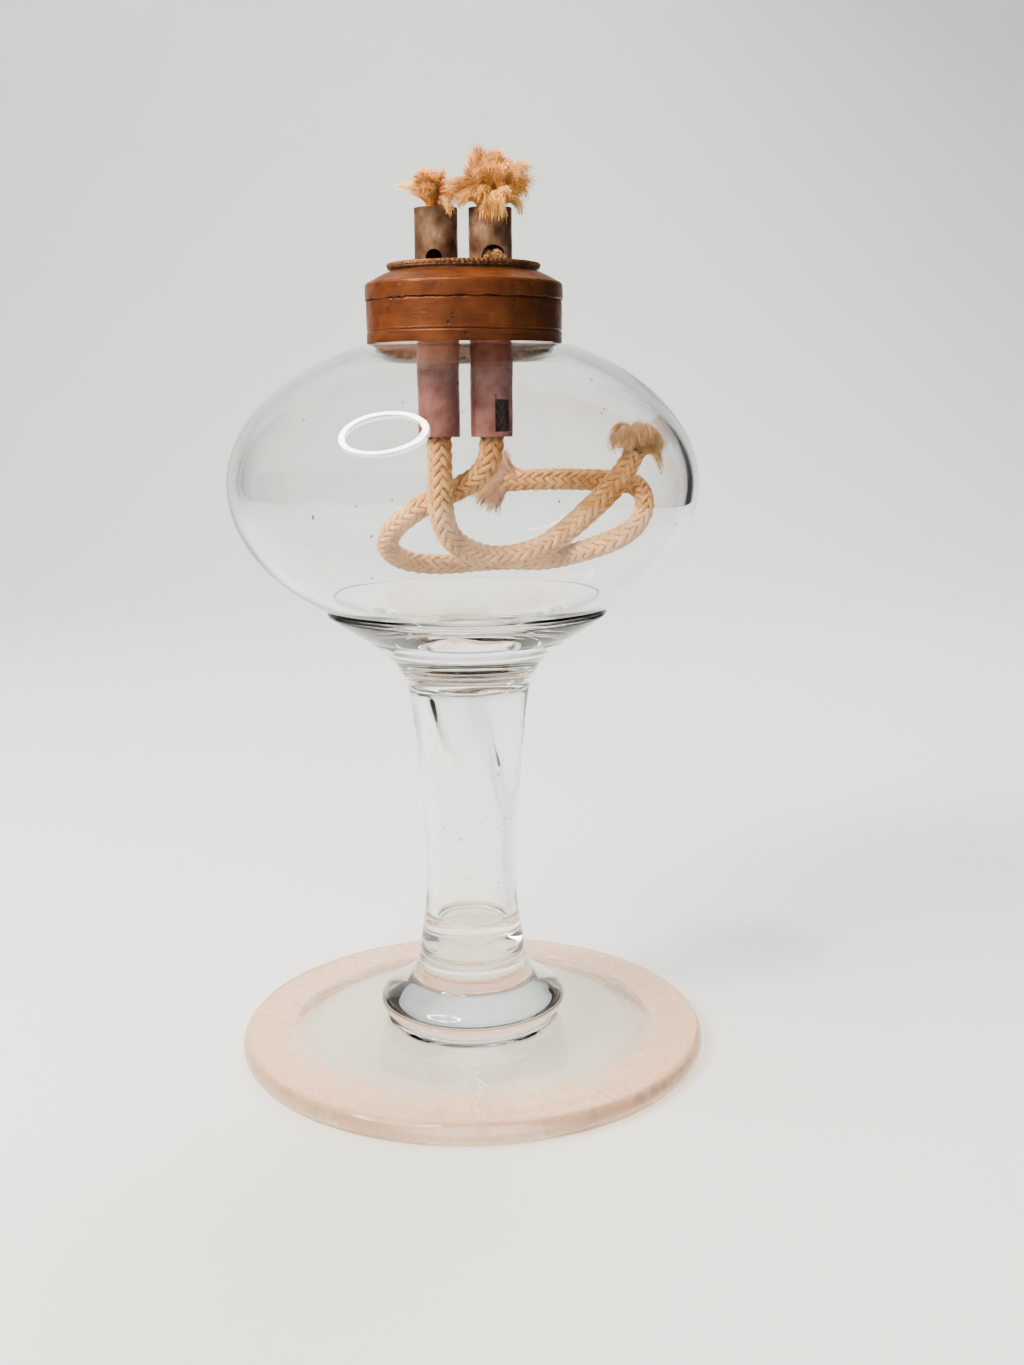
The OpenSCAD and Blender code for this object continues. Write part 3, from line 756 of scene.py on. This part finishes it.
def inner_outline():
    """Inside of the font, from the neck's mouth down to the middle of its floor."""
    r, rise = FONT_R - FONT_WALL, FONT_RISE - FONT_WALL
    drop = FONT_DROP - FONT_WALL
    high = math.degrees(math.acos(17.6 / r))
    return np.vstack([
        [(15.6, NECK_TOP_Z), (14.6, NECK_TOP_Z - 0.2)],
        curve((14.4, 144.0), (14.3, 139.0), (15.4, 137.4), 8),
        arc((0, FONT_Z), (r, rise), high, 0, 44),
        arc((0, FONT_Z), (r, drop), -2, -78, 44),
        [(6.0, FONT_Z - drop + 0.35), (3.0, FONT_Z - drop + 0.15), (0, FONT_Z - drop + 0.1)]])


def bubble_outline():
    """Sealed bubble in the stem, from its top to its bottom."""
    return np.vstack([
        [(0, 76.3)],
        curve((2.0, 76.28), (8.2, 76.2), (9.6, 73.6), 10),
        curve((9.6, 72.6), (8.6, 66), (8.0, 58), 24),
        curve((7.8, 57), (6.9, 46), (6.85, 38), 30),
        curve((6.85, 37), (7.05, 30), (7.15, 28), 12),
        curve((7.2, 27.4), (7.2, 25.7), (5.6, 25.5), 8),
        [(4.2, 25.45), (2.2, 25.4), (0, 25.4)]])


def blown(points, seed, depth, size, twist=0.0):
    """Hand-blown unevenness: nothing is quite round, and the stem's inside has twisted flutes."""
    r = np.hypot(points[:, 0], points[:, 1])
    z = points[:, 2]
    away = np.zeros_like(points)
    away[:, :2] = points[:, :2] / np.maximum(r, 1)[:, None]
    angle = np.arctan2(points[:, 1], points[:, 0])
    amount = depth * wobble(points, seed, size) * smooth(z, 7, 12) * (1 - smooth(z, 137, 139))
    flutes = np.sin(3 * angle + z * 0.11) + 0.6 * np.sin(5 * angle + z * 0.13 + 1)
    amount += twist * flutes * smooth(z, 40, 66) * (1 - smooth(z, 74, 76))
    moved = points + away * (amount * smooth(r, 0.5, 4))[:, None]
    moved[:, 0] += FONT_SHIFT * smooth(z, 84, 98) * (1 - smooth(z, 127, 137))
    return moved


def add_seeds(shape, rng, count):
    """Tiny air bubbles caught in the font's wall and the stem's wall."""
    ico, ico_faces = lathe(arc((0, 0), (1, 1), -90, 90, 6), 8)
    for _ in range(count):
        a = rng.uniform(0, TAU)
        if rng.uniform() < 0.7:
            lift = rng.uniform(-0.85, 0.85)
            r = (FONT_R - FONT_WALL / 2) * math.sqrt(1 - lift ** 2)
            z = FONT_Z + lift * (FONT_RISE - FONT_WALL / 2)
            shift = FONT_SHIFT
        else:
            z = rng.uniform(30, 66)
            r = 8.0 + 1.2 * smooth(z, 40, 66)
            shift = 0
        size = rng.uniform(0.10, 0.28)
        seed = ico * size * np.array([1, 1, rng.uniform(1, 1.6)])
        shape.add(seed + (r * math.cos(a) + shift, r * math.sin(a), z), [f[::-1] for f in ico_faces])


def make_glass():
    clear, worn = clear_glass(), worn_glass()
    rng = np.random.default_rng(5)
    shape = Shape()
    outer, inner = outer_outline(), inner_outline()
    outline = np.vstack([outer, inner])
    points, faces = lathe(outline, LATHE_SEGMENTS)
    n = 1 + (len(outer) - 1) * LATHE_SEGMENTS
    points[:n] = blown(points[:n], 1, 0.07, 26, 0.05)
    points[n:] = blown(points[n:], 2, 0.06, 24)
    worn_count = int(np.argmax(outer[:, 1] > FOOT_TOP_Z - 0.01)) * LATHE_SEGMENTS
    shape.add(points, faces)
    shape.slots[:worn_count] = [1] * worn_count
    bubble, bubble_faces = lathe(bubble_outline(), 160)
    shape.add(blown(bubble, 3, 0.16, 14, 0.68), bubble_faces)
    add_seeds(shape, rng, 70)
    glass = shape.piece("lamp_glass", [clear, worn])
    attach(glass, "lamp")
    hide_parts("foot", "foot_wafer", "stem", "merese", "font")


def make_specks():
    """Dust on the font's inside and a few loose cotton hairs in it."""
    rng = np.random.default_rng(61)
    dust = Shape()
    ball, ball_faces = lathe(arc((0, 0), (1, 1), -90, 90, 4), 6)
    for _ in range(150):
        a, lift = rng.uniform(0, TAU), rng.uniform(-0.9, 0.9)
        r = (FONT_R - FONT_WALL - 0.1) * math.sqrt(1 - lift ** 2)
        z = FONT_Z + lift * (FONT_RISE - FONT_WALL - 0.1)
        grain = ball * rng.uniform(0.03, 0.09) * np.array([1, 1, 0.7])
        dust.add(grain + (r * math.cos(a) + FONT_SHIFT, r * math.sin(a), z), ball_faces)
    piece = dust.piece("font_dust", [flaw()])
    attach(piece, "lamp")

    lint = Shape()
    for line in ([(-22, 8, 96.6), (-19, 7, 97.2), (-15.5, 8, 97.4), (-12.5, 9.5, 96.6)],
                 [(8, 3, 88.4), (13, 4, 88.8), (19, 5, 89.8), (22, 5.5, 92.0)],
                 [(14, -4, 92.2), (19, -6, 93.4), (22.5, -5.5, 96.0), (21.5, -4, 98.0)],
                 [(-30, -4, 99.0), (-26, -8, 97.6), (-21, -9, 95.6)]):
        hair = through(line, 0.7)
        lint.add(*tube(hair, 0.045, 4))
    piece = lint.piece("font_lint", [cotton("cotton_lint", (0.5, 0.3, 0.12), (0.7, 0.45, 0.22),
                                            (0.85, 0.6, 0.35), 2600)])
    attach(piece, "lamp")


def make_flaw():
    """White forked crack in the front of the foot, from the wafer to the rim."""
    trunk = [(0.6, -20.5, 5.1), (0.9, -25, 4.6), (0.2, -29, 4.2), (1.2, -33.5, 3.8), (0.3, -38, 3.3),
             (0.6, -42.5, 2.8)]
    forks = [[(0.9, -25, 4.6), (-1.6, -23.6, 4.7), (-2.0, -26.5, 4.4)], [(0.2, -29, 4.2), (2.2, -32, 3.9)],
             [(1.2, -33.5, 3.8), (-1.0, -37, 3.4), (-1.6, -40.5, 3.0)], [(0.3, -38, 3.3), (2.0, -42.0, 2.9)]]
    shape = Shape()
    for line in [trunk] + forks:
        route = through(line, 0.5)
        route += wobble(route, 8, 1.5)[:, None] * np.array([0.5, 0, 0.15])
        width = 0.2 * (1 - 0.6 * np.linspace(0, 1, len(route)))
        shape.add(*tube(route, width, 6))
    crack = shape.piece("foot_crack", [flaw()])
    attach(crack, "lamp")


# ---- collar and burner ----

def dented(points, seed, depth):
    """Pits, dents and a slightly uneven skin on rolled sheet brass, thickest by the seam and shoulder."""
    rng = np.random.default_rng(seed)
    r = np.hypot(points[:, 0], points[:, 1])
    away = np.zeros_like(points)
    away[:, :2] = points[:, :2] / np.maximum(r, 1)[:, None]
    push = 0.035 * wobble(points, seed, 5)
    for k in range(130):
        a = rng.uniform(0, TAU)
        line = SEAM_Z if k % 2 else 148.6
        z = rng.normal(line, 0.6) if k < 96 else rng.uniform(139, 149)
        size = rng.uniform(0.22, 0.50) if k < 116 else rng.uniform(0.7, 1.6)
        at = np.array([COLLAR_R * math.cos(a), COLLAR_R * math.sin(a), z])
        near = np.linalg.norm((points - at) / np.array([1, 1, 0.7]), axis=1)
        push -= depth * rng.uniform(0.3, 1) * np.exp(-(near / size) ** 2)
    outside = smooth(r, COLLAR_R - 0.9, COLLAR_R - 0.3)
    return points + away * (push * outside)[:, None]


def ragged(points, z, reach, depth, seed):
    """Nicks along a sheet edge at height z."""
    near = np.exp(-((points[:, 2] - z) / reach) ** 2)
    jag = wobble(points, seed, 0.9) * 0.6 + np.minimum(wobble(points, seed + 1, 2.2), 0)
    moved = points.copy()
    moved[:, 2] += depth * near * jag
    return moved


def make_collar(brass):
    r, inner = COLLAR_R, COLLAR_R - 0.8
    groove = 140.5
    skirt = np.vstack([
        [(inner, COLLAR_BOTTOM_Z + 0.1), (inner + 0.2, COLLAR_BOTTOM_Z), (r - 0.3, COLLAR_BOTTOM_Z)],
        curve((r - 0.12, COLLAR_BOTTOM_Z + 0.03), (r, COLLAR_BOTTOM_Z + 0.1), (r, COLLAR_BOTTOM_Z + 0.35), 4),
        [(r, 139.2), (r, groove - 0.45), (r + 0.06, groove - 0.32), (r + 0.03, groove - 0.2),
         (r - 0.2, groove - 0.06), (r - 0.2, groove + 0.06), (r + 0.03, groove + 0.2),
         (r + 0.06, groove + 0.32), (r, groove + 0.45)],
        [(r, z) for z in np.linspace(groove + 0.7, SEAM_Z - 0.45, 22)],
        [(r - 0.02, SEAM_Z - 0.3), (r - 0.16, SEAM_Z - 0.12), (r - 0.2, SEAM_Z)],
        [(inner, SEAM_Z), (inner, 142)]])
    points, faces = lathe(skirt, 600, closed=True)
    shape = Shape()
    shape.add(ragged(dented(points, 31, 0.22), SEAM_Z - 0.2, 0.3, 0.20, 41), faces)
    piece = shape.piece("collar_skirt_brass", [brass])
    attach(piece, "lamp")
    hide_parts("collar_skirt")

    r += 0.15
    hole = 11.9
    cap = np.vstack([
        [(inner, SEAM_Z + 0.02), (r - 0.25, SEAM_Z + 0.02), (r - 0.08, SEAM_Z + 0.06), (r, SEAM_Z + 0.2)],
        [(r, z) for z in np.linspace(SEAM_Z + 0.35, 148.3, 12)],
        curve((r - 0.02, 148.6), (r - 0.05, 149.15), (r - 0.75, 149.4), 6),
        curve((r - 1.1, 149.55), (16.0, 150.35), (14.5, 150.98), 8),
        curve((14.3, 151.06), (14.1, COLLAR_TOP_Z), (13.7, COLLAR_TOP_Z), 4),
        [(12.6, COLLAR_TOP_Z), (hole, COLLAR_TOP_Z - 0.06), (hole, COLLAR_TOP_Z - 0.6),
         (13.7, COLLAR_TOP_Z - 0.6), (16.0, 149.6), (inner, 148.5)]])
    points, faces = lathe(cap, 600, closed=True)
    shape = Shape()
    shape.add(ragged(dented(points, 32, 0.22), SEAM_Z + 0.1, 0.25, 0.22, 43), faces)
    piece = shape.piece("collar_cap_brass", [brass])
    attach(piece, "lamp")
    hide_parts("collar_cap")


def make_cement(material):
    """Plaster between neck and skirt, with crumbs squeezed out under the collar's edge."""
    inner, outer = 16.25, COLLAR_R - 0.85
    outline = np.vstack([
        curve((inner, 139.6), (16.9, 138.45), (outer - 0.1, 138.25), 4),
        [(outer, 138.5), (outer, 142), (outer, NECK_TOP_Z + 0.5), (inner - 1.2, NECK_TOP_Z + 0.5),
         (inner - 1.2, NECK_TOP_Z + 0.05), (inner + 0.55, NECK_TOP_Z + 0.05), (inner + 0.55, 144.4),
         (inner, 143.6), (inner, 141)]])
    points, faces = lathe(outline, 260, closed=True)
    low = 1 - smooth(points[:, 2], 138.3, 139.4)
    points[:, 2] -= low * 0.16 * np.abs(wobble(points, 51, 0.8))
    shape = Shape()
    shape.add(points, faces)
    crumb_r = COLLAR_R - 0.35
    rng = np.random.default_rng(52)
    ball, ball_faces = lathe(arc((0, 0), (1, 1), -90, 90, 6), 10)
    for _ in range(26):
        a = rng.uniform(0, TAU)
        size = rng.uniform(0.12, 0.34)
        at = np.array([crumb_r * math.cos(a), crumb_r * math.sin(a), COLLAR_BOTTOM_Z - 0.05])
        crumb = ball * size * np.array([1.5, 1.5, 0.7])
        crumb *= (1 + 0.3 * wobble(crumb + at, 53, 0.4))[:, None]
        shape.add(crumb + at, ball_faces)
    piece = shape.piece("collar_plaster", [material])
    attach(piece, "lamp")
    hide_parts("collar_cement")


def make_disc_edge(brass):
    """Rope-milled bead round the burner's disc: a ring of fine slanted ridges."""
    around, section = 1040, 12
    ridges = 104
    half_width, half_height = 0.36, 0.40
    points = []
    for i in range(around):
        a = TAU * i / around
        for k in range(section):
            q = TAU * k / section
            ridge = 1 + 0.30 * math.cos(ridges * a + 1.6 * math.sin(q))
            r = DISC_R - 0.27 + half_width * ridge * math.cos(q)
            z = DISC_TOP_Z - half_height + half_height * (0.86 + 0.14 * ridge) * math.sin(q)
            points.append((r * math.cos(a), r * math.sin(a), z))
    faces = [(i * section + k, ((i + 1) % around) * section + k,
              ((i + 1) % around) * section + (k + 1) % section, i * section + (k + 1) % section)
             for i in range(around) for k in range(section)]
    shape = Shape()
    shape.add(points, faces)
    piece = shape.piece("disc_milled_edge", [brass])
    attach(piece, "burner")


def dress(node, material):
    """Gives a CAD node its material."""
    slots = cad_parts[node].material_slots
    for slot in slots:
        slot.material = material


def make_metal():
    collar = old_brass("collar_brass", (0.070, 0.021, 0.008), (0.120, 0.038, 0.013),
                       (0.185, 0.066, 0.024), 0.38)
    disc = old_brass("disc_brass", (0.060, 0.026, 0.013), (0.15, 0.068, 0.034),
                     (0.25, 0.125, 0.065), 0.40)
    tubes = tube_brass()
    make_collar(collar)
    make_cement(plaster())
    make_disc_edge(disc)
    for node in ("collar_thread_ring", "burner_plug"):
        dress(node, collar)
    dress("burner_disc", disc)
    for node in ("wick_tube_left", "wick_tube_right"):
        dress(node, tubes)
    dress("tube_solder", solder())
    dress("sealing_washer", leather())


# ---- studio ----

def make_stage():
    """Pale floor that curves up into a backdrop."""
    m = Nodes("backdrop")
    m.set(Base_Color=(0.50, 0.54, 0.55, 1), Roughness=0.9)
    profile = np.vstack([
        [(-5, 0), (0.55, 0)], curve((0.6, 0), (1.0, 0), (1.0, 0.4), 12), [(1.0, 1.6)]])
    shape = Shape()
    half = 4 / MM
    points = [(x, y / MM, z / MM - 0.06) for y, z in profile for x in (-half, half)]
    faces = [(2 * i, 2 * i + 1, 2 * i + 3, 2 * i + 2) for i in range(len(profile) - 1)]
    shape.add(points, faces)
    shape.piece("backdrop", [m.material])


def emitter(name, colour, strength):
    material = bpy.data.materials.new(name)
    material.use_nodes = True
    tree = material.node_tree
    tree.nodes.clear()
    glow = tree.nodes.new("ShaderNodeEmission")
    glow.inputs["Color"].default_value = (*colour, 1)
    glow.inputs["Strength"].default_value = strength
    out = tree.nodes.new("ShaderNodeOutputMaterial")
    tree.links.new(glow.outputs[0], out.inputs[0])
    return material


def make_ring_lamp():
    """Ring lamp above and to the left: its hoop shows in the glass and in the brass."""
    around = np.linspace(0, TAU, 97)[:-1]
    aim = unit(np.array([-0.50, -0.34, 0.79]))
    side = unit(np.cross(aim, (0, 0, 1)))
    up = np.cross(side, aim)
    distance, radius = 0.62, 0.185
    centre = np.array([0, 0, 0.12]) + aim * distance
    hoop = centre + radius * (np.cos(around)[:, None] * side + np.sin(around)[:, None] * up)
    hoop = np.vstack([hoop, hoop[:1]]) / MM
    shape = Shape()
    shape.add(*tube(hoop, 15.0, 8))
    hoop_lamp = shape.piece("ring_lamp", [emitter("ring_glow", (1.0, 0.89, 0.76), 80)])
    hoop_lamp.visible_camera = False


def make_flags():
    """Dark cards beside the set: they show only in the glass and the brass, and draw their edges."""
    m = Nodes("flag")
    m.set(Base_Color=(0.02, 0.02, 0.022, 1), Roughness=0.9)
    top = 0.8
    for name, x, near, far in (("flag_right", 0.48, -0.35, 0.70), ("flag_left", -0.80, 0.0, 0.85)):
        corners = [(x, near, 0.0), (x, far, 0.0), (x, far, top), (x, near, top)]
        shape = Shape()
        shape.add(np.array(corners) / MM, [(0, 1, 2, 3)])
        card = shape.piece(name, [m.material])
        card.visible_camera = False
        card.visible_diffuse = False
        card.visible_shadow = False


def area_lamp(name, place, target, size, power, colour, reflected):
    data = bpy.data.lights.new(name, "AREA")
    data.shape = "RECTANGLE"
    data.size, data.size_y = size
    data.energy = power
    data.color = colour
    lamp = bpy.data.objects.new(name, data)
    bpy.context.scene.collection.objects.link(lamp)
    away = np.array(place, float) - np.array(target, float)
    z = unit(away)
    x = unit(np.cross((0, 0, 1), z))
    y = np.cross(z, x)
    turn = Matrix([[x[0], y[0], z[0]], [x[1], y[1], z[1]], [x[2], y[2], z[2]]]).to_4x4()
    lamp.matrix_world = Matrix.Translation(place) @ turn
    lamp.visible_glossy = reflected
    lamp.visible_transmission = reflected


def make_lights():
    middle = (0, 0, 0.10)
    area_lamp("key", (-0.58, -0.46, 0.62), middle, (0.26, 0.26), 17, (1.0, 0.86, 0.70), False)
    area_lamp("fill", (0.35, -0.90, 0.30), middle, (0.4, 0.4), 1.6, (0.92, 0.96, 1.0), False)
    area_lamp("back", (0.25, 0.65, 0.80), middle, (0.5, 0.3), 12, (1.0, 0.94, 0.88), False)
    area_lamp("backdrop", (0, 0.35, 1.25), (0, 0.95, 0.15), (1.2, 0.4), 6.5, (0.95, 0.98, 1.0), False)
    world = bpy.data.worlds.new("studio")
    world.use_nodes = True
    sky = world.node_tree.nodes["Background"]
    sky.inputs["Color"].default_value = (0.86, 0.87, 0.87, 1)
    sky.inputs["Strength"].default_value = 0.25
    bpy.context.scene.world = world
    bpy.context.scene.view_settings.look = "AgX - Medium High Contrast"


make_camera()
make_wicks()
make_glass()
make_specks()
make_flaw()
make_metal()
make_stage()
make_ring_lamp()
make_flags()
make_lights()
